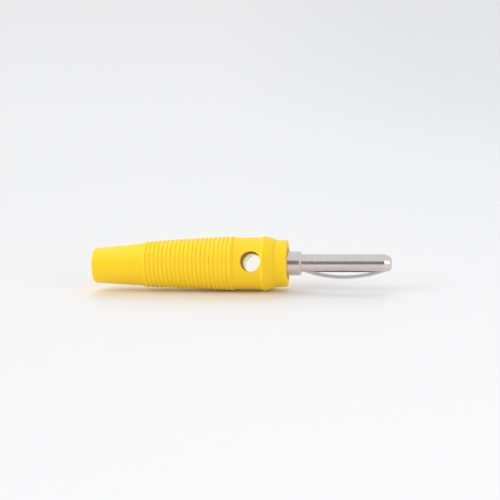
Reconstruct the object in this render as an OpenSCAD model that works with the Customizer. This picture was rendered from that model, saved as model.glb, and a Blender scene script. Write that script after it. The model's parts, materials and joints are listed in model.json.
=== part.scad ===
// Banana plug, 4 mm, with a ribbed soft handle, a cross hole for a second plug and a screw clamp.
// The plug's axis is X, with the pin's tip towards +X. The origin is where the cross hole meets that axis.
// Axial places are distances from the origin, and the plug lies on its side, turned by plug_roll.

/* [Lie] */
// Turn about the plug's axis at which it lies: the cross hole's front mouth looks up by this angle
plug_roll = 16; // [0:1:45]

/* [Pin] */
// Diameter of the pin
pin_d = 4; // [3.9:0.05:4.1]
// Length of the pin ahead of the collar
pin_len = 19.4; // [17:0.1:24]
// Rounding of the pin's tip
tip_round = 1.3; // [0.4:0.1:1.7]

/* [Collar] */
// Diameter of the collar between the pin and the handle
collar_d = 5.2; // [4.6:0.1:6]
// Length of the collar that stands out of the nose
collar_len = 2.9; // [1.5:0.1:5]
// Chamfer round the collar's front edge
collar_chamfer = 0.25; // [0.1:0.05:0.4]

/* [Contact body] */
// Diameter of the metal body inside the handle
body_d = 7; // [6.4:0.1:7.4]
// Distance from the cross hole's axis to the body's rear end
body_rear = 12.5; // [11.5:0.1:16]
// How far the body's front face lies behind the nose's front face
body_recess = 0.4; // [0.1:0.1:1]
// Chamfer round both ends of the body
body_chamfer = 0.35; // [0.1:0.05:0.6]
// Radial clearance between the body and the handle
body_gap = 0.05; // [0.02:0.01:0.1]

/* [Cross hole] */
// Diameter of the cross bore through the metal
cross_bore_d = 4.06; // [4.02:0.01:4.12]
// Diameter of the hole through the handle's two walls
cross_hole_d = 4.4; // [4.38:0.01:4.8]

/* [Wire clamp] */
// Diameter of the bore for the bared wire
wire_bore_d = 3; // [2:0.1:3.4]
// Depth of the wire bore from the body's rear end
wire_bore_len = 9; // [7:0.1:9.4]
// Diameter over the clamp screw's thread
screw_d = 2.9; // [2:0.1:3.4]
// Radial clearance of the screw in its hole
screw_gap = 0.05; // [0.02:0.01:0.1]
// Distance from the body's rear end to the screw's axis
screw_inset = 2.8; // [2.2:0.1:3.2]
// How far the rim of the screw's top lies below the body's surface
screw_sink = 0.15; // [0.1:0.05:0.4]
// Width of the screw's driver slot
driver_slot_w = 0.5; // [0.3:0.05:0.8]
// Depth of the screw's driver slot
driver_slot_depth = 0.6; // [0.3:0.05:0.9]

/* [Leaf spring] */
// Width of the leaf
leaf_w = 1.7; // [1.2:0.05:2]
// Thickness of the leaf
leaf_t = 0.6; // [0.3:0.05:0.7]
// Height of the bow's outer face above the pin's axis
leaf_crest = 3.2; // [2.9:0.05:3.5]
// Bending radius of the bow's outer face
leaf_bow_r = 26; // [24:0.5:32]
// Distance from the collar's front face to where the bow starts
leaf_start = 0.3; // [0.1:0.1:1]
// Distance from the bow's front end to the pin's tip
leaf_tip_gap = 1.6; // [1.5:0.1:3]
// Length of the flat rear foot, tucked into the collar
leaf_tuck = 1.5; // [0.5:0.1:2]
// Length of the flat front foot
leaf_toe = 0.3; // [0.2:0.05:0.5]
// Clearance between the leaf and its slot, on each side and below
leaf_gap = 0.08; // [0.03:0.01:0.15]
// Room ahead of the leaf for it to lengthen when it is pressed flat
leaf_room = 0.3; // [0.2:0.05:0.5]

/* [Handle nose] */
// Distance from the cross hole's axis to the nose's front face
nose_front = 7.7; // [7:0.1:10]
// Diameter of the nose at its front
nose_d = 10.06; // [9:0.02:10.6]
// Diameter of the nose where it meets the finger ridge
nose_root_d = 10.24; // [9.2:0.02:10.8]
// Rounding of the nose's front edge
nose_round = 0.3; // [0.1:0.05:0.6]

/* [Finger ridge] */
// Diameter over the ridge
ridge_d = 12; // [11.5:0.05:13]
// Distance from the nose's front face back to the ridge's top
ridge_back = 5.15; // [4.6:0.05:5.3]
// Length of the ramp behind the ridge
ridge_ramp = 0.5; // [0.2:0.05:0.6]
// Rounding of the ridge's top
ridge_round = 0.12; // [0.05:0.01:0.2]
// Length of the cone ahead of the ridge
cone_len = 2.1; // [1.4:0.05:2.6]
// Diameter at the cone's front end
cone_end_d = 11.14; // [10.9:0.02:11.6]
// Length of the slope from the cone down to the nose
cone_drop = 0.35; // [0.2:0.05:0.6]

/* [Smooth band] */
// Diameter of the smooth band around the cross hole
band_d = 11.28; // [10.8:0.02:11.4]
// Distance from the cross hole's axis to the band's rear end
band_rear = 3.75; // [3.2:0.05:4.5]

/* [Ribs] */
// Number of narrow ribs on the grip
rib_count = 20; // [8:1:22]
// Distance from rib to rib
rib_pitch = 0.93; // [0.8:0.01:1]
// Diameter over the rear rib
rib_rear_d = 10.02; // [9.4:0.02:10.4]
// Diameter over the broad front rib
rib_front_d = 11.9; // [11.5:0.02:11.9]
// Depth of the grooves between the ribs
rib_depth = 0.2; // [0.15:0.01:0.34]
// Radius of a rib's round crest
rib_r = 0.34; // [0.3:0.01:0.4]
// Width of the broad rib beside the smooth band
broad_rib_w = 1.2; // [0.8:0.05:1.6]
// Rounding of the broad rib's edges
broad_rib_round = 0.16; // [0.05:0.01:0.25]

/* [Tail] */
// Distance from the cross hole's axis to the handle's rear end
tail_rear = 35.1; // [30:0.1:42]
// Diameter of the tail at its rear end
tail_d = 7.6; // [7:0.1:8.4]
// Diameter of the tail where the ribs start
tail_front_d = 9.26; // [9:0.02:9.6]
// Rounding of the rear end's outer edge
tail_round = 0.5; // [0.2:0.05:0.8]
// Diameter of the cable entry
cable_d = 5; // [4:0.1:5.4]
// Rounding of the cable entry's mouth
cable_mouth_round = 0.4; // [0.1:0.05:0.6]
// Axial clearance between the body's rear end and the handle's inner shoulder
shoulder_gap = 0.1; // [0.05:0.01:0.3]

/* [Hidden] */
$fn = 96;
// Overrun of a cut past the surface that it opens
cut = 1;

// Places along the plug's axis
collar_front = nose_front + collar_len;
pin_tip = collar_front + pin_len;
body_front = nose_front - body_recess;
body_end = -body_rear;
screw_x = body_end + screw_inset;
shoulder_x = body_end - shoulder_gap;
ridge_x = nose_front - ridge_back;
cone_end_x = ridge_x + cone_len;
broad_rib_front = -band_rear;
broad_rib_rear = broad_rib_front - broad_rib_w;
rib_first_x = broad_rib_rear - rib_pitch / 2;
rib_rear_x = rib_first_x - (rib_count - 1) * rib_pitch;
ribs_rear = rib_rear_x - rib_pitch;

// The leaf's profile, as heights above the pin's axis
bow_start = collar_front + leaf_start;
bow_end = pin_tip - leaf_tip_gap;
bow_x = (bow_start + bow_end) / 2;
bow_z = leaf_crest - leaf_bow_r;
foot_z = bow_z + sqrt(pow(leaf_bow_r - leaf_t, 2) - pow(bow_end - bow_x, 2));
foot_t = bow_z + sqrt(pow(leaf_bow_r, 2) - pow(bow_end - bow_x, 2)) - foot_z;
slot_w = leaf_w + 2 * leaf_gap;
slot_floor = foot_z - leaf_gap;

// The screw runs from below the body's surface to the wall of the wire bore
screw_top = sqrt(pow(body_d / 2 - screw_sink, 2) - pow(screw_d / 2, 2));
screw_tip = wire_bore_d / 2;

// Diameter over the ribs at a place along the axis
function rib_d(x) = rib_front_d
    + (rib_rear_d - rib_front_d) * (broad_rib_front - x) / (broad_rib_front - rib_rear_x);

// Geometry of a rounded corner b between its neighbours a and c
function unit(v) = v / norm(v);
function half_angle(a, b, c) = acos(unit(a - b) * unit(c - b)) / 2;
function tangent(a, b, c, r) = b + unit(a - b) * r / tan(half_angle(a, b, c));
function centre(a, b, c, r) = b + unit(unit(a - b) + unit(c - b)) * r / sin(half_angle(a, b, c));
function is_outer(a, b, c) = (b.x - a.x) * (c.y - b.y) > (b.y - a.y) * (c.x - b.x);

// An outline from points [x, y, rounding], listed anticlockwise
module rounded_outline(points) {
    count = len(points);
    at = [for (p = points) [p.x, p.y]];
    before = function(i) at[(i + count - 1) % count];
    after = function(i) at[(i + 1) % count];
    round_corners = [for (i = [0:count - 1]) if (points[i].z > 0) i];
    corners = [
        for (i = [0:count - 1])
            each points[i].z > 0
                ? [
                    tangent(before(i), at[i], after(i), points[i].z),
                    tangent(after(i), at[i], before(i), points[i].z)
                ]
                : [at[i]]
    ];
    difference() {
        union() {
            polygon(corners);
            for (i = round_corners)
                if (is_outer(before(i), at[i], after(i)))
                    translate(centre(before(i), at[i], after(i), points[i].z)) circle(points[i].z);
        }
        for (i = round_corners)
            if (!is_outer(before(i), at[i], after(i)))
                translate(centre(before(i), at[i], after(i), points[i].z)) circle(points[i].z);
    }
}

// A body turned about the X axis from its half profile, drawn as x along the axis and y as radius
module turned() {
    rotate([0, 90, 0]) rotate_extrude() mirror([1, -1, 0]) children();
}

// Sets what has a direction round the axis to the angle at which the plug lies
module rolled() {
    rotate([-plug_roll, 0, 0]) children();
}

// A round cutter through the origin along Y
module across(d, length) {
    rotate([90, 0, 0]) cylinder(d = d, h = length, center = true);
}

// The half profile of the turned metal: body, collar and pin
module contact_profile() {
    intersection() {
        rounded_outline([
            [body_end, 0, 0],
            [pin_tip, 0, 0],
            [pin_tip, pin_d / 2, tip_round],
            [collar_front, pin_d / 2, 0],
            [collar_front, collar_d / 2 - collar_chamfer, 0],
            [collar_front - collar_chamfer, collar_d / 2, 0],
            [body_front, collar_d / 2, 0],
            [body_front, body_d / 2 - body_chamfer, 0],
            [body_front - body_chamfer, body_d / 2, 0],
            [body_end + body_chamfer, body_d / 2, 0],
            [body_end, body_d / 2 - body_chamfer, 0]
        ]);
        translate([body_end, 0]) square([pin_tip - body_end, body_d / 2]);
    }
}

// The slot milled into the pin's underside, with a pocket into the collar for the leaf's rear foot
module leaf_slot() {
    slot_rear = collar_front + leaf_start - leaf_tuck - leaf_gap;
    slot_front = bow_end + leaf_toe + leaf_room;
    slot_open = pin_d / 2 + cut;
    foot_top = foot_z + foot_t + leaf_gap;
    translate([collar_front, -slot_w / 2, -slot_open])
        cube([slot_front - collar_front, slot_w, slot_open - slot_floor]);
    translate([slot_rear, -slot_w / 2, -foot_top])
        cube([collar_front - slot_rear + cut, slot_w, foot_top - slot_floor]);
}

// Turned metal contact: pin, collar and body in one piece, with its bores and the leaf's slot
module contact() {
    color("silver") rolled() difference() {
        turned() contact_profile();
        leaf_slot();
        across(cross_bore_d, body_d + 2 * cut);
        translate([body_end - cut, 0, 0]) rotate([0, 90, 0])
            cylinder(d = wire_bore_d, h = wire_bore_len + cut);
        translate([screw_x, 0, 0])
            cylinder(d = screw_d + 2 * screw_gap, h = body_d / 2 + cut);
    }
}

// Bowed strip in the pin's slot, with a flat foot at each end
module leaf_spring() {
    color("lightsteelblue") rolled() rotate([-90, 0, 0])
        linear_extrude(leaf_w, center = true) {
            intersection() {
                translate([bow_x, bow_z]) difference() {
                    circle(leaf_bow_r);
                    circle(leaf_bow_r - leaf_t);
                }
                translate([bow_start, foot_z]) square([bow_end - bow_start, leaf_crest]);
            }
            translate([bow_start - leaf_tuck, foot_z]) square([leaf_tuck + leaf_t, foot_t]);
            translate([bow_end - leaf_t, foot_z]) square([leaf_toe + leaf_t, foot_t]);
        }
}

// Headless clamp screw with a driver slot, its tip at the wire bore's wall
module clamp_screw() {
    color("gray") rolled() translate([screw_x, 0, 0]) difference() {
        translate([0, 0, screw_tip]) cylinder(d = screw_d, h = screw_top - screw_tip);
        translate([-screw_d, -driver_slot_w / 2, screw_top - driver_slot_depth])
            cube([2 * screw_d, driver_slot_w, driver_slot_depth + cut]);
    }
}

// The half profile of the moulded handle, from the cable entry round to the tail
module handle_profile() {
    bore_r = body_d / 2 + body_gap;
    groove_r = function(x) rib_d(x) / 2 - rib_depth;
    rounded_outline([
        [-tail_rear, cable_d / 2, cable_mouth_round],
        [shoulder_x, cable_d / 2, 0],
        [shoulder_x, bore_r, 0],
        [nose_front, bore_r, 0],
        [nose_front, nose_d / 2, nose_round],
        [cone_end_x + cone_drop, nose_root_d / 2, 0],
        [cone_end_x, cone_end_d / 2, 0],
        [ridge_x, ridge_d / 2, ridge_round],
        [ridge_x - ridge_ramp, band_d / 2, 0],
        [broad_rib_front, band_d / 2, 0],
        [broad_rib_front, rib_d(broad_rib_front) / 2, broad_rib_round],
        [broad_rib_rear, rib_d(broad_rib_rear) / 2, broad_rib_round],
        [broad_rib_rear, groove_r(broad_rib_rear), 0],
        [ribs_rear, groove_r(ribs_rear), 0],
        [ribs_rear, tail_front_d / 2, 0],
        [-tail_rear, tail_d / 2, tail_round]
    ]);
    for (i = [0:rib_count - 1]) {
        rib_x = rib_first_x - i * rib_pitch;
        translate([rib_x, rib_d(rib_x) / 2 - rib_r]) circle(rib_r);
    }
}

// Soft moulded handle: ribbed grip, smooth band with the cross hole, finger ridge and nose
module handle() {
    color("gold") rolled() difference() {
        turned() handle_profile();
        across(cross_hole_d, ridge_d + 2 * cut);
    }
}

contact();
leaf_spring();
clamp_screw();
handle();
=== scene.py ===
"""Banana plug on a pale floor: ribbed vinyl handle, plated contact, leaf spring and clamp screw."""

import json
import logging
import math
from dataclasses import dataclass
from enum import Enum

import bmesh
import bpy
from mathutils import Matrix, Vector


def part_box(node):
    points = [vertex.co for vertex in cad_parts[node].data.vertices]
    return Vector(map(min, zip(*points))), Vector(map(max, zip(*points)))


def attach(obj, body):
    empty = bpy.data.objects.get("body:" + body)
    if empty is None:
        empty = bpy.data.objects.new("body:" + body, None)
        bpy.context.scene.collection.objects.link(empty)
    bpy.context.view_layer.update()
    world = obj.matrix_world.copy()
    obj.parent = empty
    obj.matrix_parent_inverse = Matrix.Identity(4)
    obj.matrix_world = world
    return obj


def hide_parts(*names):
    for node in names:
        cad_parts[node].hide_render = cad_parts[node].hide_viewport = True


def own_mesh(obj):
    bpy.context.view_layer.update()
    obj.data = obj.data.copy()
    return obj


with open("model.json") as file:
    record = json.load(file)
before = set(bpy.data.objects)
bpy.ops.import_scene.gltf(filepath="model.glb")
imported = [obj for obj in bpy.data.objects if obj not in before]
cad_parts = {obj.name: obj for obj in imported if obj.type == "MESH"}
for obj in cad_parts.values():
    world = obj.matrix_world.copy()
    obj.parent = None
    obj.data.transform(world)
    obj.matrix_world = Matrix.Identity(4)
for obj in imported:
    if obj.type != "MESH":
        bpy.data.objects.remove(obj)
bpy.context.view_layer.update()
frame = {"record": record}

LOG = logging.getLogger("banana_plug")
MM = 0.001
FULL_TURN = 2 * math.pi
AXIS = Vector((1, 0, 0))
WELD = 1e-7

Socket = bpy.types.NodeSocket
SceneObject = bpy.types.Object
Shape = bmesh.types.BMesh
Face = bmesh.types.BMFace


class Slot(Enum):
    """The record's material slots."""

    NICKEL = "nickel_plate"
    SPRING = "spring_metal"
    STEEL = "screw_steel"
    VINYL = "yellow_vinyl"


class Body(Enum):
    """The bodies that pieces ride on."""

    CONTACT = "contact"
    SCREW = "screw"
    HANDLE = "handle"


class Graph:
    """Adds nodes to one shader tree and joins them."""

    # Numbers of the Mix node's colour sockets, because it has several sockets of each name
    colour_below = 6
    colour_above = 7
    colour_mixed = 2

    def __init__(self, tree: bpy.types.NodeTree) -> None:
        """Start on the node tree of a material, a group or the world."""
        self.tree = tree

    def add(self, kind: str, inputs: dict | None = None, **settings) -> bpy.types.Node:
        """Add a node.

        Args:
            kind: The node's type name without its ShaderNode prefix.
            inputs: Socket names or numbers, each with a value or with a socket to join to it.
            settings: Attributes to set on the node before its inputs.

        Returns:
            The new node.
        """
        node = self.tree.nodes.new(f"ShaderNode{kind}")
        for name, value in settings.items():
            setattr(node, name, value)
        for name, value in (inputs or {}).items():
            self.give(node.inputs[name], value)
        return node

    def give(self, target: Socket, value: object) -> None:
        """Join a socket to an input, or set the input to a constant.

        Args:
            target: The input.
            value: The socket or constant.
        """
        if isinstance(value, Socket):
            self.tree.links.new(value, target)
        else:
            target.default_value = value

    def place(self) -> Socket:
        """Add the surface's place in its piece's own space."""
        return self.add("TexCoord").outputs["Object"]

    def along(self, direction: object) -> Socket:
        """Measure the surface's place along a direction, given as a vector or a socket."""
        inputs = {0: self.place(), 1: direction}
        return self.add("VectorMath", inputs, operation="DOT_PRODUCT").outputs["Value"]

    def spread(self, value: Socket, low: float, high: float) -> Socket:
        """Map a value from 0 to 1 to a range, low at 0 and high at 1."""
        node = self.add("MapRange", {"Value": value, "To Min": low, "To Max": high})
        return node.outputs["Result"]

    def fade(self, value: Socket, full: float, none: float) -> Socket:
        """Make a mask of a value: 1 where the value is full, fading to 0 where it is none."""
        ends = {"From Min": full, "From Max": none, "To Min": 1.0, "To Max": 0.0}
        return self.add("MapRange", {"Value": value, **ends}).outputs["Result"]

    def blend(self, mask: Socket, below: object, above: object) -> Socket:
        """Mix two colours by a mask.

        Args:
            mask: The socket that gives the share of the second colour.
            below: Colour, or socket, at 0.
            above: Colour, or socket, at 1.

        Returns:
            The mixed colour's socket.
        """
        node = self.add("Mix", {"Factor": mask}, data_type="RGBA")
        for number, value in ((self.colour_below, below), (self.colour_above, above)):
            joined = isinstance(value, Socket)
            self.give(node.inputs[number], value if joined else (*value, 1))
        return node.outputs[self.colour_mixed]


class EffectGroups:
    """The surface effects that several finishes share, each built once as a node group."""

    fine_detail = 2.0
    broad_detail = 4.0
    ring_detail = 3.0
    ring_roughness = 0.6
    smudge_detail = 5.0
    smudge_distortion = 0.8
    smudge_ends = (0.75, 0.45)
    scuff_turn = (0.5, 0.9, 0.3)
    scuff_stretch = (1.0, 0.04, 1.0)
    scuff_width = 0.02

    def __init__(self) -> None:
        """Build every group."""
        self.grain = self._grain()
        self.tool_marks = self._tool_marks()
        self.handling = self._handling()

    @staticmethod
    def _start(name: str, inputs: dict[str, str], outputs: list[str]) -> tuple[Graph, dict, dict]:
        """Make an empty group.

        Args:
            name: The group's name.
            inputs: Each input's name and socket type.
            outputs: The names of its outputs, which are all values.

        Returns:
            Its graph, its input sockets and its output sockets, by name.
        """
        tree = bpy.data.node_groups.new(name, "ShaderNodeTree")
        for label, kind in inputs.items():
            tree.interface.new_socket(label, in_out="INPUT", socket_type=kind)
        for label in outputs:
            tree.interface.new_socket(label, in_out="OUTPUT", socket_type="NodeSocketFloat")
        group_in = tree.nodes.new("NodeGroupInput")
        group_out = tree.nodes.new("NodeGroupOutput")
        sources = {label: group_in.outputs[label] for label in inputs}
        targets = {label: group_out.inputs[label] for label in outputs}
        return Graph(tree), sources, targets

    def _grain(self) -> bpy.types.NodeTree:
        """Build fine and broad noise in the piece's own space, stretched as each finish asks.

        Returns:
            The group.
        """
        inputs = {
            "Stretch": "NodeSocketVector",
            "Fine Scale": "NodeSocketFloat",
            "Broad Scale": "NodeSocketFloat",
        }
        graph, given, wanted = self._start("surface_grain", inputs, ["Fine", "Broad"])
        stretched = graph.add(
            "VectorMath", {0: graph.place(), 1: given["Stretch"]}, operation="MULTIPLY"
        ).outputs["Vector"]
        for label, detail in (("Fine", self.fine_detail), ("Broad", self.broad_detail)):
            noise = graph.add(
                "TexNoise",
                {"Vector": stretched, "Scale": given[f"{label} Scale"], "Detail": detail},
            )
            graph.give(wanted[label], noise.outputs["Fac"])
        return graph.tree

    def _tool_marks(self) -> bpy.types.NodeTree:
        """Build the rings that a tool leaves square to an axis, as a height.

        Returns:
            The group.
        """
        inputs = {"Axis": "NodeSocketVector", "Marks": "NodeSocketFloat"}
        graph, given, wanted = self._start("tool_marks", inputs, ["Height"])
        noise = graph.add(
            "TexNoise",
            {
                "W": graph.along(given["Axis"]), "Scale": given["Marks"],
                "Detail": self.ring_detail, "Roughness": self.ring_roughness,
            },
            noise_dimensions="1D",
        )
        graph.give(wanted["Height"], noise.outputs["Fac"])
        return graph.tree

    def _handling(self) -> bpy.types.NodeTree:
        """Build smudges and thin scuffs from handling, as two masks.

        Returns:
            The group.
        """
        inputs = {"Smudge Scale": "NodeSocketFloat", "Scuff Scale": "NodeSocketFloat"}
        graph, given, wanted = self._start("handling_marks", inputs, ["Smudge", "Scuff"])
        place = graph.place()
        smudge = graph.add(
            "TexNoise",
            {
                "Vector": place, "Scale": given["Smudge Scale"],
                "Detail": self.smudge_detail, "Distortion": self.smudge_distortion,
            },
        )
        graph.give(wanted["Smudge"], graph.fade(smudge.outputs["Fac"], *self.smudge_ends))
        turned = graph.add(
            "Mapping", {"Vector": place, "Rotation": self.scuff_turn, "Scale": self.scuff_stretch}
        )
        scuff = graph.add(
            "TexVoronoi",
            {"Vector": turned.outputs["Vector"], "Scale": given["Scuff Scale"]},
            feature="DISTANCE_TO_EDGE",
        )
        graph.give(wanted["Scuff"], graph.fade(scuff.outputs["Distance"], 0.0, self.scuff_width))
        return graph.tree


class Finish:
    """Common base of the finishes: a material with one Principled shader."""

    name: str
    stretch = (1.0, 1.0, 1.0)
    fine_scale = 4000.0
    broad_scale: float
    smudge_scale = 300.0
    scuff_scale = 900.0
    rings: float
    ring_depth: float

    def __init__(self, groups: EffectGroups) -> None:
        """Build the material.

        Args:
            groups: The shared effects.
        """
        self.material = bpy.data.materials.new(self.name)
        self.material.use_nodes = True
        tree = self.material.node_tree
        self.shader = tree.nodes["Principled BSDF"]
        self.graph = Graph(tree)
        self.groups = groups
        self.build()

    def build(self) -> None:
        """Add the finish's own nodes."""
        raise NotImplementedError

    def effect(self, group: bpy.types.NodeTree, **values) -> bpy.types.Node:
        """Place a shared effect.

        Args:
            group: The effect's node group.
            values: Its inputs, with underscores for spaces.

        Returns:
            The group node.
        """
        node = self.graph.add("Group", node_tree=group)
        for label, value in values.items():
            node.inputs[label.replace("_", " ")].default_value = value
        return node

    def grained(self) -> bpy.types.Node:
        """Place the grain at this finish's stretch and scales."""
        scales = {"Fine_Scale": self.fine_scale, "Broad_Scale": self.broad_scale}
        return self.effect(self.groups.grain, Stretch=self.stretch, **scales)

    def handled(self) -> bpy.types.Node:
        """Place the marks of handling at this finish's scales."""
        scales = {"Smudge_Scale": self.smudge_scale, "Scuff_Scale": self.scuff_scale}
        return self.effect(self.groups.handling, **scales)

    def ringed(self) -> Socket:
        """Place the lathe's rings at this finish's spacing and depth."""
        rings = self.effect(self.groups.tool_marks, Axis=AXIS, Marks=self.rings)
        return self.bump(rings.outputs["Height"], self.ring_depth)

    def feed(self, **sockets: object) -> None:
        """Join sockets to the shader, or set its constants, named with underscores for spaces."""
        for label, value in sockets.items():
            self.graph.give(self.shader.inputs[label.replace("_", " ")], value)

    def bump(self, height: Socket, depth: float) -> Socket:
        """Turn a height from 0 to 1 into a normal, for a relief of a depth in metres."""
        return self.graph.add("Bump", {"Height": height, "Distance": depth}).outputs["Normal"]

    def merged(self, how: str, first: Socket, second: Socket) -> Socket:
        """Add or multiply two values, as the name of a Math operation says."""
        return self.graph.add("Math", {0: first, 1: second}, operation=how).outputs["Value"]


class YellowVinyl(Finish):
    """Soft moulded vinyl: warm yellow, satin, with a fine mould grain and slight mottling."""

    name = "yellow_vinyl"
    light = (0.985, 0.655, 0.010)
    deep = (0.975, 0.620, 0.005)
    soiled = (0.860, 0.500, 0.010)
    soiled_share = 0.07
    fine_scale = 9000.0
    broad_scale = 160.0
    smudge_scale = 220.0
    grain_depth = 0.006 * MM
    roughness = (0.36, 0.46)
    smudge_roughness = 0.06
    glow = 0.4
    glow_reach = 0.8 * MM
    glow_shares = (1.0, 0.8, 0.3)
    refraction = 1.46

    def build(self) -> None:
        """Mottle the colour, vary the gloss and add the mould's grain."""
        grain = self.grained()
        smudge = self.handled().outputs["Smudge"]
        mottled = self.graph.blend(grain.outputs["Broad"], self.deep, self.light)
        faint = self.graph.spread(smudge, 0.0, self.soiled_share)
        gloss = self.merged(
            "ADD",
            self.graph.spread(grain.outputs["Broad"], *self.roughness),
            self.graph.spread(smudge, 0.0, self.smudge_roughness),
        )
        self.feed(
            Base_Color=self.graph.blend(faint, mottled, self.soiled),
            Roughness=gloss,
            Normal=self.bump(grain.outputs["Fine"], self.grain_depth),
            Subsurface_Weight=self.glow,
            Subsurface_Radius=self.glow_shares,
            Subsurface_Scale=self.glow_reach,
            IOR=self.refraction,
        )


class NickelPlate(Finish):
    """Nickel plating over turned brass: lathe rings, tarnish, a bare cross bore, and painted shade
    in the bore's front part and round its mouth.
    """

    name = "nickel_plate"
    bore_r = 2.03 * MM
    bore_lip = 0.05 * MM
    drilled = (1.000, 0.850, 0.560)
    drilled_roughness = 0.30
    # Painted shade: dull dark brown in the front part of the cross bore, fading along it
    painted_bore_shade = (0.500, 0.210, 0.020)
    bore_shade_metallic = 0.0
    bore_shade_roughness = 1.0
    bore_shade_ends = (4.8 * MM, -1.0 * MM)
    # Painted shade: dark ring on the body round the bore's mouth, inside the handle's hole
    painted_rim_shade = (0.200, 0.125, 0.050)
    rim_shade_reach = 0.35 * MM
    bright = (0.730, 0.645, 0.640)
    dulled = (0.665, 0.578, 0.568)
    dulled_share = 0.5
    broad_scale = 260.0
    ring_depth = 0.0008 * MM
    rings = 9000.0
    roughness = (0.16, 0.26)
    scuff_roughness = 0.08

    def __init__(self, groups: EffectGroups, bore_axis: Vector) -> None:
        """Build the material round a cross bore, by its direction out of the front mouth."""
        self.bore_axis = bore_axis
        super().__init__(groups)

    def near_bore(self, full: float, none: float) -> Socket:
        """Mask of the surface near the cross bore, by distance from the bore's axis.

        Args:
            full: Distance up to which the mask is full.
            none: Distance at which it ends.

        Returns:
            The mask's socket.
        """
        off_axis = self.graph.add(
            "VectorMath", {0: self.graph.place(), 1: self.bore_axis}, operation="CROSS_PRODUCT"
        ).outputs["Vector"]
        distance = self.graph.add("VectorMath", {0: off_axis}, operation="LENGTH").outputs["Value"]
        return self.graph.fade(distance, full, none)

    def along_bore(self) -> Socket:
        """Mask of the painted shade in the bore, which fades along the bore from its front mouth.
        """
        return self.graph.fade(self.graph.along(self.bore_axis), *self.bore_shade_ends)

    def build(self) -> None:
        """Ring the surface, vary its tint and gloss, bare the cross bore, and paint shade into its
        front part and round its mouth.
        """
        marks = self.handled()
        dull = self.graph.spread(marks.outputs["Smudge"], 0.0, self.dulled_share)
        gloss = self.merged(
            "ADD",
            self.graph.spread(self.grained().outputs["Broad"], *self.roughness),
            self.graph.spread(marks.outputs["Scuff"], 0.0, self.scuff_roughness),
        )
        lip = self.bore_r + self.bore_lip
        bore = self.near_bore(lip - self.bore_lip / 2, lip)
        # Painted shade round the bore's mouth, where the handle's hole shades the body
        rim_shade_mask = self.near_bore(lip + self.rim_shade_reach / 2, lip + self.rim_shade_reach)
        # Painted shade in the bore, darkest at its front mouth
        shade_along_bore = self.along_bore()
        bare = self.graph.blend(shade_along_bore, self.drilled, self.painted_bore_shade)
        shaded_bore_mask = self.merged("MULTIPLY", bore, shade_along_bore)
        plated = self.graph.blend(dull, self.bright, self.dulled)
        outside = self.graph.blend(rim_shade_mask, plated, self.painted_rim_shade)
        bore_roughness = self.graph.spread(shade_along_bore, self.drilled_roughness, self.bore_shade_roughness)
        rougher = self.graph.add("Mix", {"Factor": bore, "A": gloss, "B": bore_roughness}, data_type="FLOAT")
        self.feed(
            Base_Color=self.graph.blend(bore, outside, bare),
            Roughness=rougher.outputs["Result"],
            Metallic=self.graph.spread(shaded_bore_mask, 1.0, self.bore_shade_metallic),
            Normal=self.ringed(),
        )


class SpringMetal(Finish):
    """Rolled spring strip, plated: grain along its length."""

    name = "spring_metal"
    bright = (0.840, 0.790, 0.790)
    dulled = (0.740, 0.690, 0.690)
    dulled_share = 0.6
    stretch = (0.06, 1.0, 1.0)
    fine_scale = 14000.0
    broad_scale = 900.0
    smudge_scale = 350.0
    grain_depth = 0.001 * MM
    roughness = (0.36, 0.52)

    def build(self) -> None:
        """Draw the rolling grain along the strip and vary its gloss."""
        grain = self.grained()
        dull = self.graph.spread(self.handled().outputs["Smudge"], 0.0, self.dulled_share)
        self.feed(
            Base_Color=self.graph.blend(dull, self.bright, self.dulled),
            Roughness=self.graph.spread(grain.outputs["Broad"], *self.roughness),
            Metallic=1.0,
            Normal=self.bump(grain.outputs["Fine"], self.grain_depth),
        )


class ScrewSteel(Finish):
    """Zinc-plated steel of the clamp screw: greyer and duller than the plating around it."""

    name = "screw_steel"
    bright = (0.560, 0.570, 0.590)
    dulled = (0.420, 0.410, 0.400)
    fine_scale = 6000.0
    broad_scale = 700.0
    ring_depth = 0.002 * MM
    rings = 12000.0
    roughness = (0.30, 0.45)

    def build(self) -> None:
        """Dull the zinc unevenly and mark the faces."""
        grain = self.grained()
        self.feed(
            Base_Color=self.graph.blend(grain.outputs["Broad"], self.dulled, self.bright),
            Roughness=self.graph.spread(grain.outputs["Fine"], *self.roughness),
            Metallic=1.0,
            Normal=self.ringed(),
        )


class FloorSheet(Finish):
    """Pale matt sheet under the plug, with a faint sheen and painted shade towards the back and the
    right.
    """

    name = "floor_sheet"
    pale = (0.945, 0.945, 0.948)
    warm = (0.940, 0.938, 0.936)
    # Painted shade: the sheet darkens slowly to the back and the right, as the light falls off
    painted_far_shade = (0.880, 0.883, 0.886)
    shade_fade_rate = (5.0, 0.75, 0.0)
    fine_scale = 1500.0
    broad_scale = 6.0
    tooth_depth = 0.002 * MM
    roughness = (0.42, 0.50)
    refraction = 1.1

    def build(self) -> None:
        """Give the sheet a faint cloud and tooth, and painted shade that deepens slowly to the back
        and the right.
        """
        grain = self.grained()
        far_shade_mask = self.graph.spread(self.graph.along(self.shade_fade_rate), 0.0, 1.0)
        near = self.graph.blend(grain.outputs["Broad"], self.pale, self.warm)
        self.feed(
            Base_Color=self.graph.blend(far_shade_mask, near, self.painted_far_shade),
            Roughness=self.graph.spread(grain.outputs["Broad"], *self.roughness),
            IOR=self.refraction,
            Normal=self.bump(grain.outputs["Fine"], self.tooth_depth),
        )


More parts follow.
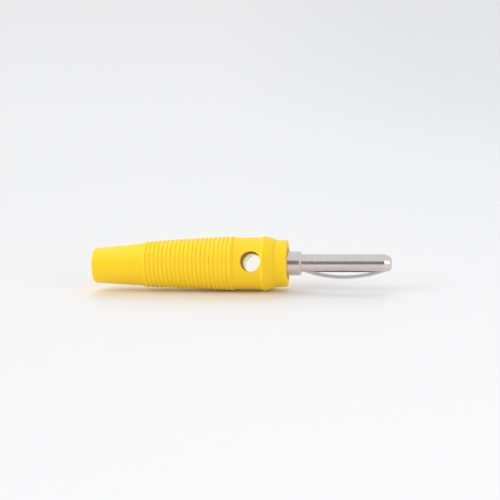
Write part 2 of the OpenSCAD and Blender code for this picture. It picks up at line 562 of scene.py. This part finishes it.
class FlagCloth(Finish):
    """Dark cloth of the card that gives the metal its dark line."""

    name = "flag_cloth"
    dark = (0.290, 0.240, 0.232)
    worn = (0.320, 0.266, 0.256)
    fine_scale = 800.0
    broad_scale = 8.0
    roughness = (0.85, 0.95)

    def build(self) -> None:
        """Vary the cloth slightly."""
        grain = self.grained()
        self.feed(
            Base_Color=self.graph.blend(grain.outputs["Broad"], self.dark, self.worn),
            Roughness=self.graph.spread(grain.outputs["Fine"], *self.roughness),
        )


@dataclass(frozen=True)
class Corner:
    """One corner of a turned outline: its place along the axis, radius and rounding, in metres."""

    x: float
    r: float
    rounding: float = 0.0


@dataclass(frozen=True)
class TurnedOutline:
    """A half outline in the XZ plane that is turned about the X axis."""

    corners: tuple[Corner, ...]
    closed: bool
    arc_steps: int
    turn_steps: int = 160

    def turned(self) -> Shape:
        """Round the corners and spin the outline.

        Returns:
            A bmesh of the closed, turned surface, its faces outwards.
        """
        shape = bmesh.new()
        points = [shape.verts.new((c.x, 0, c.r)) for c in self.corners]
        ends = points[1:] + points[:1] if self.closed else points[1:]
        for start, end in zip(points, ends):
            shape.edges.new((start, end))
        for point, corner in zip(points, self.corners):
            if corner.rounding:
                self._round(shape, point, corner.rounding)
        bmesh.ops.spin(
            shape, geom=shape.verts[:] + shape.edges[:], axis=AXIS, cent=(0, 0, 0),
            angle=FULL_TURN, steps=self.turn_steps, use_merge=True,
        )
        bmesh.ops.remove_doubles(shape, verts=shape.verts[:], dist=WELD)
        bmesh.ops.recalc_face_normals(shape, faces=shape.faces[:])
        return shape

    def _round(self, shape: Shape, point: bmesh.types.BMVert, radius: float) -> None:
        """Replace one corner of the wire by an arc.

        Args:
            shape: The wire.
            point: The corner's vertex.
            radius: The arc's radius.
        """
        first, second = (edge.other_vert(point).co - point.co for edge in point.link_edges)
        reach = radius / math.tan(first.angle(second) / 2)
        bmesh.ops.bevel(
            shape, geom=[point], offset=reach, offset_type="OFFSET", segments=self.arc_steps,
            profile=0.5, affect="VERTICES", material=-1, clamp_overlap=True,
        )


class Piece:
    """Turns a bmesh into a finished object of the scene."""

    smooth_angle = math.radians(34)

    @classmethod
    def made(cls, name: str, shape: Shape) -> SceneObject:
        """Make an object of a bmesh, shaded smooth with its true edges kept sharp.

        Args:
            name: The object's name.
            shape: The bmesh, which is freed.

        Returns:
            The object, linked to the scene.
        """
        mesh = bpy.data.meshes.new(name)
        shape.to_mesh(mesh)
        shape.free()
        return cls._linked(name, mesh)

    @classmethod
    def carved(cls, name: str, shape: Shape, cutters: list[Shape]) -> SceneObject:
        """Make an object of a bmesh with cutters taken out of it.

        Args:
            name: The object's name.
            shape: The bmesh of the body, which is freed.
            cutters: The closed cutters, which are freed.

        Returns:
            The object, linked to the scene.
        """
        body = cls.made(f"{name}_uncut", shape)
        tools = [cls.made(f"{name}_cutter", cutter) for cutter in cutters]
        for tool in tools:
            cut = body.modifiers.new(tool.name, "BOOLEAN")
            cut.operation = "DIFFERENCE"
            cut.solver = "EXACT"
            cut.object = tool
        seen = body.evaluated_get(bpy.context.evaluated_depsgraph_get())
        mesh = bpy.data.meshes.new_from_object(seen)
        for used in (body, *tools):
            bpy.data.meshes.remove(used.data)
        mesh.name = name
        return cls._linked(name, mesh)

    @classmethod
    def _linked(cls, name: str, mesh: bpy.types.Mesh) -> SceneObject:
        """Shade a mesh and link it as an object.

        Args:
            name: The object's name.
            mesh: The mesh.

        Returns:
            The object.
        """
        mesh.materials.clear()
        mesh.shade_smooth()
        mesh.set_sharp_from_angle(angle=cls.smooth_angle)
        piece = bpy.data.objects.new(name, mesh)
        bpy.context.scene.collection.objects.link(piece)
        return piece

    @staticmethod
    def dressed(
        piece: SceneObject, finish: Finish, slot: Slot, body: Body, node: str
    ) -> SceneObject:
        """Give a piece its finish and body, and hide the solid that it stands for.

        Args:
            piece: The object.
            finish: Its finish.
            slot: The record's slot of that finish; not used.
            body: The body that it rides on.
            node: The solid that it stands for.

        Returns:
            The piece.
        """
        piece.data.materials.append(finish.material)
        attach(piece, body.value)
        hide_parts(node)
        LOG.info("%s: %d faces, on %s", piece.name, len(piece.data.polygons), body.value)
        return piece


@dataclass(frozen=True)
class Lie:
    """How the plug lies: the turn about its own axis."""

    roll: float

    @classmethod
    def from_record(cls, record: dict) -> "Lie":
        """Read the turn from the cross hole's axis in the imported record."""
        axis = next(m["axis"] for m in record["mounts"] if m["name"] == "cross_hole")
        return cls(roll=math.atan2(axis[2], -axis[1]))

    @property
    def turn(self) -> Matrix:
        """Rotation from the upright plug to the plug as it lies."""
        return Matrix.Rotation(-self.roll, 4, "X")

    def laid(self, shape: Shape) -> Shape:
        """Turn a bmesh as the plug lies, from the leaf straight down, and give it back."""
        bmesh.ops.transform(shape, matrix=self.turn, verts=shape.verts[:])
        return shape

    def across(self) -> Vector:
        """Direction of the cross hole, out of its front mouth, as the plug lies."""
        return self.turn.to_3x3() @ Vector((0, -1, 0))


def rod(d: float, start: Vector, end: Vector, segments: int = 96) -> Shape:
    """Make a closed round rod.

    Args:
        d: Its diameter.
        start: The middle of one end.
        end: The middle of the other.
        segments: Number of its sides.

    Returns:
        The rod's bmesh.
    """
    along = end - start
    turn = along.to_track_quat("Z", "Y").to_matrix().to_4x4()
    shape = bmesh.new()
    bmesh.ops.create_cone(
        shape, cap_ends=True, segments=segments, radius1=d / 2, radius2=d / 2,
        depth=along.length, matrix=Matrix.Translation((start + end) / 2) @ turn,
    )
    return shape


def block(low: Vector, high: Vector) -> Shape:
    """Make a closed block.

    Args:
        low: Its lowest corner.
        high: Its highest corner.

    Returns:
        The block's bmesh.
    """
    shape = bmesh.new()
    size = Matrix.Diagonal((*(high - low), 1))
    bmesh.ops.create_cube(shape, size=1.0, matrix=Matrix.Translation((low + high) / 2) @ size)
    return shape


@dataclass(frozen=True)
class Handle:
    """Soft moulded handle: tail, ribbed grip, band with the cross hole, finger ridge and nose."""

    nose_front: float = 7.7 * MM
    nose_d: float = 10.06 * MM
    nose_root_d: float = 10.24 * MM
    nose_round: float = 0.3 * MM
    ridge_d: float = 12.0 * MM
    ridge_back: float = 5.15 * MM
    ridge_ramp: float = 0.5 * MM
    ridge_round: float = 0.12 * MM
    cone_len: float = 2.1 * MM
    cone_end_d: float = 10.88 * MM
    cone_drop: float = 0.45 * MM
    cone_round: float = 0.3 * MM
    band_d: float = 11.28 * MM
    band_rear: float = 3.75 * MM
    rib_count: int = 20
    rib_pitch: float = 0.93 * MM
    rib_rear_d: float = 10.02 * MM
    rib_front_d: float = 11.9 * MM
    rib_slope: float = math.radians(33)
    rib_crown_r: float = 0.5 * MM
    rib_groove_r: float = 0.12 * MM
    broad_rib_w: float = 1.2 * MM
    broad_rib_round: float = 0.3 * MM
    broad_rib_run: float = 0.45 * MM
    broad_rib_foot_r: float = 0.5 * MM
    tail_rear: float = 35.1 * MM
    tail_d: float = 7.6 * MM
    tail_front_d: float = 9.26 * MM
    tail_round: float = 0.5 * MM
    cable_d: float = 5.0 * MM
    cable_mouth_round: float = 0.4 * MM
    bore_d: float = 7.1 * MM
    bore_rear: float = 12.6 * MM
    hole_d: float = 4.4 * MM
    soft_edge: float = 0.06 * MM
    sag_turn: float = math.radians(0.45)
    sag_places: tuple[float, ...] = (11.0 * MM, 14.0 * MM, 17.0 * MM)
    arc_steps: int = 7

    def outline(self) -> TurnedOutline:
        """Half outline of the moulding.

        Returns:
            The outline, from the tail's rear edge along the outside and back through the bore.
        """
        ridge_x = self.nose_front - self.ridge_back
        cone_end_x = ridge_x + self.cone_len
        return TurnedOutline(
            corners=(
                Corner(-self.tail_rear, self.tail_d / 2, self.tail_round),
                *self._grip(),
                Corner(-self.band_rear, self.band_d / 2, self.broad_rib_foot_r),
                Corner(ridge_x - self.ridge_ramp, self.band_d / 2, self.soft_edge),
                Corner(ridge_x, self.ridge_d / 2, self.ridge_round),
                Corner(cone_end_x, self.cone_end_d / 2, self.cone_round),
                Corner(cone_end_x + self.cone_drop, self.nose_root_d / 2, self.cone_round),
                Corner(self.nose_front, self.nose_d / 2, self.nose_round),
                Corner(self.nose_front, self.bore_d / 2, self.soft_edge),
                Corner(-self.bore_rear, self.bore_d / 2),
                Corner(-self.bore_rear, self.cable_d / 2, self.soft_edge),
                Corner(-self.tail_rear, self.cable_d / 2, self.cable_mouth_round),
            ),
            closed=True,
            arc_steps=self.arc_steps,
        )

    def _grip(self) -> list[Corner]:
        """Corners of the ribbed grip.

        Returns:
            The corners from the tail's front end to the broad rib's front edge.
        """
        broad_rear = -self.band_rear - self.broad_rib_w
        first_rib = broad_rear - self.rib_pitch / 2
        last_rib = first_rib - (self.rib_count - 1) * self.rib_pitch
        grip_rear = last_rib - self.rib_pitch
        taper = (self.rib_front_d - self.rib_rear_d) / 2 / (-self.band_rear - last_rib)

        def crest(x: float) -> float:
            """Radius over the ribs at a place along the axis."""
            return self.rib_front_d / 2 - taper * (-self.band_rear - x)

        peak = self.rib_crown_r * (1 / math.cos(self.rib_slope) - 1)
        fall = self.rib_pitch / 2 * math.tan(self.rib_slope) - peak

        def groove(x: float) -> Corner:
            """Rounded corner of the groove at a place along the axis."""
            return Corner(x, crest(x) - fall, self.rib_groove_r)

        corners = [
            Corner(grip_rear, self.tail_front_d / 2, self.soft_edge),
            Corner(grip_rear, crest(grip_rear) - fall, self.soft_edge),
        ]
        for rib in reversed(range(self.rib_count)):
            x = first_rib - rib * self.rib_pitch
            corners.append(groove(x - self.rib_pitch / 2))
            corners.append(Corner(x, crest(x) + peak, self.rib_crown_r))
        broad_top = broad_rear + fall / math.tan(self.rib_slope)
        broad_front = -self.band_rear - self.broad_rib_run
        corners += [
            groove(broad_rear),
            Corner(broad_top, crest(broad_top), self.broad_rib_round),
            Corner(broad_front, crest(broad_front), self.broad_rib_round),
        ]
        return corners

    def sagged(self, shape: Shape) -> Shape:
        """Let the soft rear end hang a little, in steps from where the metal inside it ends.

        Args:
            shape: The moulding, as the plug lies.

        Returns:
            The same bmesh.
        """
        turn = Matrix.Rotation(-self.sag_turn, 3, "Y")
        for place in self.sag_places:
            hanging = [v for v in shape.verts if v.co.x < -place]
            bmesh.ops.rotate(shape, cent=(-place, 0, 0), matrix=turn, verts=hanging)
        return shape

    def hole_cutter(self) -> Shape:
        """Rod along the cross hole, past both walls."""
        reach = Vector((0, self.ridge_d, 0))
        return rod(self.hole_d, -reach, reach)

    def build(self, lie: Lie, finish: Finish) -> SceneObject:
        """Build and dress the handle.

        Args:
            lie: How the plug lies.
            finish: Its finish.

        Returns:
            The handle.
        """
        body = self.sagged(lie.laid(self.outline().turned()))
        piece = Piece.carved("ribbed_handle", body, [lie.laid(self.hole_cutter())])
        return Piece.dressed(piece, finish, Slot.VINYL, Body.HANDLE, "handle")


@dataclass(frozen=True)
class Contact:
    """Turned metal contact: body with its bores, collar, and pin with the leaf's slot."""

    pin_d: float = 4.0 * MM
    pin_tip: float = 30.0 * MM
    tip_cone_len: float = 1.58 * MM
    tip_cone_slope: float = math.radians(22)
    tip_round: float = 1.0 * MM
    collar_d: float = 5.2 * MM
    collar_front: float = 10.6 * MM
    collar_chamfer: float = 0.25 * MM
    body_d: float = 7.0 * MM
    body_front: float = 7.3 * MM
    body_rear: float = 12.5 * MM
    body_chamfer: float = 0.35 * MM
    cross_bore_d: float = 4.06 * MM
    wire_bore_d: float = 3.0 * MM
    wire_bore_len: float = 9.0 * MM
    screw_hole_d: float = 3.0 * MM
    screw_x: float = -9.7 * MM
    slot_w: float = 1.86 * MM
    slot_floor: float = 0.965 * MM
    slot_front: float = 29.0 * MM
    pocket_rear: float = 9.32 * MM
    pocket_top: float = 1.765 * MM
    edge: float = 0.05 * MM
    arc_steps: int = 8

    def outline(self) -> TurnedOutline:
        """Half outline of the turned metal.

        Returns:
            The outline, from the wire bore's floor round the outside to the tip.
        """
        tip_r = self.pin_d / 2 - self.tip_cone_len * math.tan(self.tip_cone_slope)
        return TurnedOutline(
            corners=(
                Corner(self.wire_bore_len - self.body_rear, 0),
                Corner(self.wire_bore_len - self.body_rear, self.wire_bore_d / 2),
                Corner(-self.body_rear, self.wire_bore_d / 2, self.edge),
                Corner(-self.body_rear, self.body_d / 2 - self.body_chamfer, self.edge),
                Corner(self.body_chamfer - self.body_rear, self.body_d / 2, self.edge),
                Corner(self.body_front - self.body_chamfer, self.body_d / 2, self.edge),
                Corner(self.body_front, self.body_d / 2 - self.body_chamfer, self.edge),
                Corner(self.body_front, self.collar_d / 2, self.edge),
                Corner(self.collar_front - self.collar_chamfer, self.collar_d / 2, self.edge),
                Corner(self.collar_front, self.collar_d / 2 - self.collar_chamfer, self.edge),
                Corner(self.collar_front, self.pin_d / 2, self.edge),
                Corner(self.pin_tip - self.tip_cone_len, self.pin_d / 2, self.edge),
                Corner(self.pin_tip, tip_r, self.tip_round),
                Corner(self.pin_tip, 0),
            ),
            closed=False,
            arc_steps=self.arc_steps,
        )

    def cutters(self) -> list[Shape]:
        """Cutters of the leaf's slot and pocket, the cross bore and the screw's hole.

        Returns:
            The cutters, with the leaf straight down.
        """
        half = self.slot_w / 2
        slot = block(
            Vector((self.collar_front, -half, -self.pin_d)),
            Vector((self.slot_front, half, -self.slot_floor)),
        )
        pocket = block(
            Vector((self.pocket_rear, -half, -self.pocket_top)),
            Vector((self.collar_front + self.collar_chamfer, half, -self.slot_floor)),
        )
        across = Vector((0, self.body_d, 0))
        screw_foot = Vector((self.screw_x, 0, 0))
        screw_hole = rod(self.screw_hole_d, screw_foot, screw_foot + Vector((0, 0, self.body_d)))
        return [slot, pocket, rod(self.cross_bore_d, -across, across), screw_hole]

    def build(self, lie: Lie, finish: Finish) -> SceneObject:
        """Build and dress the contact.

        Args:
            lie: How the plug lies.
            finish: Its finish.

        Returns:
            The contact.
        """
        body = lie.laid(self.outline().turned())
        cutters = [lie.laid(cutter) for cutter in self.cutters()]
        piece = Piece.carved("turned_contact", body, cutters)
        return Piece.dressed(piece, finish, Slot.NICKEL, Body.CONTACT, "contact")


@dataclass(frozen=True)
class LeafSpring:
    """Bowed strip in the pin's slot, bent into a flat foot at each end."""

    rear: float = 9.4 * MM
    front: float = 28.9 * MM
    bow_x: float = 19.8 * MM
    half_span: float = 9.0 * MM
    bow_r: float = 25.3 * MM
    crest: float = 3.3 * MM
    foot: float = 1.02 * MM
    thick: float = 0.7 * MM
    width: float = 1.7 * MM
    edge: float = 0.09 * MM
    edge_steps: int = 3
    edge_angle: float = math.radians(60)
    pressed_crest: float = 2.0 * MM
    bow_steps: int = 72
    bend_steps: int = 10

    def shape(self) -> Shape:
        """Sweep the strip's section along foot, bend, bow, bend and toe.

        Returns:
            The strip's bmesh, with the bow straight down.
        """
        foot_mid = self.foot + self.thick / 2
        rise = self.crest - self.thick - self.foot
        bend = 2 * math.atan(rise / self.half_span)
        bend_r = self.half_span / math.sin(bend) - self.bow_r
        start = self.bow_x - self.half_span
        end = self.bow_x + self.half_span
        strip = bmesh.new()
        section = Matrix.Translation((self.rear, 0, -foot_mid))
        section @= Matrix.Rotation(math.pi / 2, 4, "Y")
        section @= Matrix.Diagonal((self.thick / 2, self.width / 2, 1, 1))
        bmesh.ops.create_grid(strip, x_segments=1, y_segments=1, size=1.0, matrix=section)
        strip.faces.ensure_lookup_table()
        face = self._pushed(strip, strip.faces[0], start - self.rear)
        bend_z = -foot_mid - bend_r
        bow_z = self.bow_r + self.thick / 2 - self.crest
        for x, z, angle, steps in (
            (start, bend_z, bend, self.bend_steps),
            (self.bow_x, bow_z, -2 * bend, self.bow_steps),
            (end, bend_z, bend, self.bend_steps),
        ):
            face = self._swept(strip, face, Vector((x, 0, z)), angle, steps)
        self._pushed(strip, face, self.front - end)
        bmesh.ops.holes_fill(strip, edges=[e for e in strip.edges if e.is_boundary], sides=4)
        bmesh.ops.recalc_face_normals(strip, faces=strip.faces[:])
        sharp = [e for e in strip.edges if e.calc_face_angle(0) > self.edge_angle]
        bmesh.ops.bevel(
            strip, geom=sharp, offset=self.edge, offset_type="OFFSET", segments=self.edge_steps,
            profile=0.5, affect="EDGES", material=-1,
        )
        return strip

    @staticmethod
    def _pushed(strip: Shape, face: Face, length: float) -> Face:
        """Extrude the strip's end straight along the axis.

        Args:
            strip: The strip.
            face: Its end face.
            length: How far it goes.

        Returns:
            The new end face.
        """
        made = bmesh.ops.extrude_discrete_faces(strip, faces=[face])["faces"][0]
        bmesh.ops.translate(strip, vec=(length, 0, 0), verts=made.verts[:])
        return made

    @staticmethod
    def _swept(strip: Shape, face: Face, centre: Vector, angle: float, steps: int) -> Face:
        """Bend the strip's end round a centre.

        Args:
            strip: The strip.
            face: Its end face.
            centre: The bend's centre.
            angle: The bend's angle about the Y axis.
            steps: Number of steps in the bend.

        Returns:
            The new end face.
        """
        swept = bmesh.ops.spin(
            strip, geom=[face], axis=(0, 1, 0), cent=centre, angle=angle, steps=steps
        )["geom_last"]
        return next(part for part in swept if isinstance(part, Face))

    def build(self, lie: Lie, finish: Finish) -> SceneObject:
        """Build and dress the leaf.

        Args:
            lie: How the plug lies.
            finish: Its finish.

        Returns:
            The leaf.
        """
        piece = Piece.made("leaf_strip", lie.laid(self.shape()))
        Piece.dressed(piece, finish, Slot.SPRING, Body.CONTACT, "leaf_spring")
        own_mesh(piece)
        return piece


@dataclass(frozen=True)
class ClampScrew:
    """Headless clamp screw with a cut thread and a driver slot."""

    x: float = -9.7 * MM
    tip: float = 1.5 * MM
    top: float = 3.02 * MM
    thread_d: float = 2.9 * MM
    thread_pitch: float = 0.5 * MM
    thread_depth: float = 0.27 * MM
    crest_shares: tuple[float, float] = (0.44, 0.56)
    turns_below: int = 2
    turns_above: int = 1
    turn_steps: int = 64
    slot_w: float = 0.5 * MM
    slot_depth: float = 0.6 * MM

    def thread(self) -> Shape:
        """Wind one thread's section up a helix and cut it off square at both ends.

        Returns:
            The threaded rod's bmesh, upright on the Z axis.
        """
        shape = bmesh.new()
        crest_r = self.thread_d / 2
        root_r = crest_r - self.thread_depth
        foot = self.tip - self.turns_below * self.thread_pitch
        low, high = self.crest_shares
        section = [
            shape.verts.new((r, 0, foot + share * self.thread_pitch))
            for r, share in ((root_r, 0.0), (crest_r, low), (crest_r, high), (root_r, 1.0))
        ]
        edges = [shape.edges.new(pair) for pair in zip(section, section[1:])]
        turns = math.ceil((self.top - self.tip) / self.thread_pitch)
        turns += self.turns_below + self.turns_above
        bmesh.ops.spin(
            shape, geom=section + edges, axis=(0, 0, 1), cent=(0, 0, 0),
            dvec=(0, 0, self.thread_pitch / self.turn_steps),
            angle=turns * FULL_TURN, steps=turns * self.turn_steps,
        )
        bmesh.ops.remove_doubles(shape, verts=shape.verts[:], dist=WELD)
        for z, outside in ((self.tip, -1), (self.top, 1)):
            bmesh.ops.bisect_plane(
                shape, geom=shape.verts[:] + shape.edges[:] + shape.faces[:], plane_co=(0, 0, z),
                plane_no=(0, 0, outside), clear_outer=True,
            )
        bmesh.ops.holes_fill(shape, edges=[e for e in shape.edges if e.is_boundary], sides=0)
        bmesh.ops.recalc_face_normals(shape, faces=shape.faces[:])
        return shape

    def build(self, lie: Lie, finish: Finish) -> SceneObject:
        """Build and dress the screw.

        Args:
            lie: How the plug lies.
            finish: Its finish.

        Returns:
            The screw.
        """
        reach = Vector((self.thread_d, self.slot_w / 2, self.slot_depth))
        top = Vector((0, 0, self.top))
        slot = block(top - reach, top + reach)
        parts = [self.thread(), slot]
        for part in parts:
            bmesh.ops.translate(part, vec=(self.x, 0, 0), verts=part.verts[:])
            lie.laid(part)
        piece = Piece.carved("clamp_screw_threaded", parts[0], parts[1:])
        return Piece.dressed(piece, finish, Slot.STEEL, Body.SCREW, "clamp_screw")


@dataclass(frozen=True)
class Viewpoint:
    """The photograph's view: a close, slightly raised camera that sees the axis nearly level."""

    azimuth: float = math.radians(6.8)
    elevation: float = math.radians(10.0)
    distance: float = 250.0 * MM
    lens: float = 82.8
    sensor: float = 36.0
    aim_x: float = -0.61 * MM
    axis_drop: float = 2.92 * MM
    near_clip: float = 2.5 * MM

    def build(self) -> None:
        """Make the camera and set it as the scene's."""
        level = math.cos(self.elevation)
        back = Vector((
            math.sin(self.azimuth) * level,
            -math.cos(self.azimuth) * level,
            math.sin(self.elevation),
        ))
        right = (AXIS - AXIS.dot(back) * back).normalized()
        up = back.cross(right)
        aim = AXIS * self.aim_x + up * self.axis_drop
        data = bpy.data.cameras.new("photo_view")
        data.lens = self.lens
        data.sensor_width = self.sensor
        data.clip_start = self.near_clip
        camera = bpy.data.objects.new("photo_view", data)
        facing = Matrix((right, up, back)).transposed().to_4x4()
        camera.matrix_world = Matrix.Translation(aim + back * self.distance) @ facing
        bpy.context.scene.collection.objects.link(camera)
        bpy.context.scene.camera = camera


@dataclass(frozen=True)
class DistantLight:
    """A broad distant light: its strength, the angle that it fills and the direction to it."""

    name: str
    strength: float
    spread: float
    towards: tuple[float, float, float]
    mirrored: bool = False

    def build(self) -> SceneObject:
        """Add the light to the scene.

        Returns:
            The light.
        """
        data = bpy.data.lights.new(self.name, "SUN")
        data.energy = self.strength
        data.angle = self.spread
        light = bpy.data.objects.new(self.name, data)
        light.matrix_world = Vector(self.towards).to_track_quat("Z", "Y").to_matrix().to_4x4()
        light.visible_glossy = self.mirrored
        bpy.context.scene.collection.objects.link(light)
        return light


@dataclass(frozen=True)
class Studio:
    """Pale floor, white surroundings, soft lights, and a dark card in front for the metal."""

    floor_reach: float = 4.0
    floor_cells: int = 8
    sweep_y: float = 0.5
    sweep_r: float = 2.0
    sweep_turn: float = math.radians(60)
    sweep_steps: int = 24
    sky: tuple[float, float, float] = (0.862, 0.868, 0.890)
    mirrored_sky: tuple[float, float, float] = (0.858, 0.930, 0.910)
    soft_share: float = 0.625
    lights: tuple[DistantLight, ...] = (
        DistantLight("soft_key", 1.03, math.radians(50), (-1.0, -0.35, 0.7)),
        DistantLight("back_light", 0.85, math.radians(50), (-0.1, 0.8, 0.9)),
    )
    handle_lights: tuple[DistantLight, ...] = (
        DistantLight("low_fill", 1.1, math.radians(40), (-1.0, -0.45, 0.1)),
        DistantLight("sheen_light", 0.5, math.radians(60), (-0.6, -0.1, 1.0), mirrored=True),
    )
    box_w: float = 0.36
    box_h: float = 0.28
    box_power: float = 0.6
    box_away: float = 0.55
    box_from: tuple[float, float, float] = (0.8, -0.6, 0.34)
    flag_low: float = math.radians(0.3)
    flag_high: float = math.radians(38)
    flag_away: float = 0.9
    flag_w: float = 2.4

    def floor(self, z: float, finish: Finish) -> None:
        """Lay the floor, which sweeps up far behind the plug.

        Args:
            z: Its height.
            finish: Its finish.
        """
        shape = bmesh.new()
        place = Matrix.Translation((0, self.sweep_y - self.floor_reach, z))
        bmesh.ops.create_grid(
            shape, x_segments=self.floor_cells, y_segments=self.floor_cells,
            size=self.floor_reach, matrix=place,
        )
        points = [v for v in shape.verts if v.co.y > self.sweep_y - WELD]
        edges = [e for e in shape.edges if all(v in points for v in e.verts)]
        bmesh.ops.spin(
            shape, geom=points + edges, axis=AXIS, cent=(0, self.sweep_y, z + self.sweep_r),
            angle=self.sweep_turn, steps=self.sweep_steps,
        )
        bmesh.ops.recalc_face_normals(shape, faces=shape.faces[:])
        self._staged("floor", shape, finish)

    def flag(self, z: float, finish: Finish) -> None:
        """Stand the dark card in front, where only mirrored rays see it.

        Args:
            z: The floor's height.
            finish: Its finish.
        """
        low = self.flag_away * math.tan(self.flag_low)
        high = self.flag_away * math.tan(self.flag_high)
        shape = bmesh.new()
        stand = Matrix.Translation((0, -self.flag_away, z + (low + high) / 2))
        stand @= Matrix.Rotation(math.pi / 2, 4, "X")
        stand @= Matrix.Diagonal((self.flag_w / 2, (high - low) / 2, 1, 1))
        bmesh.ops.create_grid(shape, x_segments=1, y_segments=1, size=1.0, matrix=stand)
        card = self._staged("front_card", shape, finish)
        card.visible_camera = False
        card.visible_diffuse = False
        card.visible_shadow = False

    @staticmethod
    def _staged(name: str, shape: Shape, finish: Finish) -> SceneObject:
        """Make a stage object of a bmesh.

        Args:
            name: The object's name.
            shape: The bmesh, which is freed.
            finish: Its finish.

        Returns:
            The object.
        """
        piece = Piece.made(name, shape)
        piece.data.materials.append(finish.material)
        return piece

    def light(self) -> None:
        """Light the scene: tinted surroundings, the key, the back light and the side box."""
        scene = bpy.context.scene
        scene.view_settings.view_transform = "Standard"
        world = bpy.data.worlds.new("white_room")
        world.use_nodes = True
        scene.world = world
        room = Graph(world.node_tree)
        seen = world.node_tree.nodes["Background"]
        ray = room.add("LightPath").outputs
        tint = room.blend(ray["Is Glossy Ray"], self.sky, self.mirrored_sky)
        room.give(seen.inputs["Color"], tint)
        soft = room.spread(ray["Is Diffuse Ray"], 1.0, self.soft_share)
        room.give(seen.inputs["Strength"], soft)
        for light in self.lights:
            light.build()
        data = bpy.data.lights.new("side_box", "AREA")
        data.shape = "RECTANGLE"
        data.size = self.box_w
        data.size_y = self.box_h
        data.energy = self.box_power
        box = bpy.data.objects.new("side_box", data)
        towards = Vector(self.box_from).normalized()
        turn = towards.to_track_quat("Z", "Y").to_matrix().to_4x4()
        box.matrix_world = Matrix.Translation(towards * self.box_away) @ turn
        box.visible_camera = False
        scene.collection.objects.link(box)

    def light_up(self, piece: SceneObject) -> None:
        """Add the low fill and the overhead sheen, which only the handle receives.

        Args:
            piece: The handle.
        """
        lit = bpy.data.collections.new("lit_up")
        lit.objects.link(piece)
        for light in self.handle_lights:
            light.build().light_linking.receiver_collection = lit


def main() -> None:
    """Build the plug and its studio."""
    logging.basicConfig(level=logging.INFO, format="%(message)s")
    lie = Lie.from_record(frame["record"])
    groups = EffectGroups()
    studio = Studio()
    floor_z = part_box("handle")[0].z
    Viewpoint().build()
    studio.floor(floor_z, FloorSheet(groups))
    studio.flag(floor_z, FlagCloth(groups))
    studio.light()
    Contact().build(lie, NickelPlate(groups, lie.across()))
    LeafSpring().build(lie, SpringMetal(groups))
    ClampScrew().build(lie, ScrewSteel(groups))
    studio.light_up(Handle().build(lie, YellowVinyl(groups)))


if __name__ == "__main__":
    main()
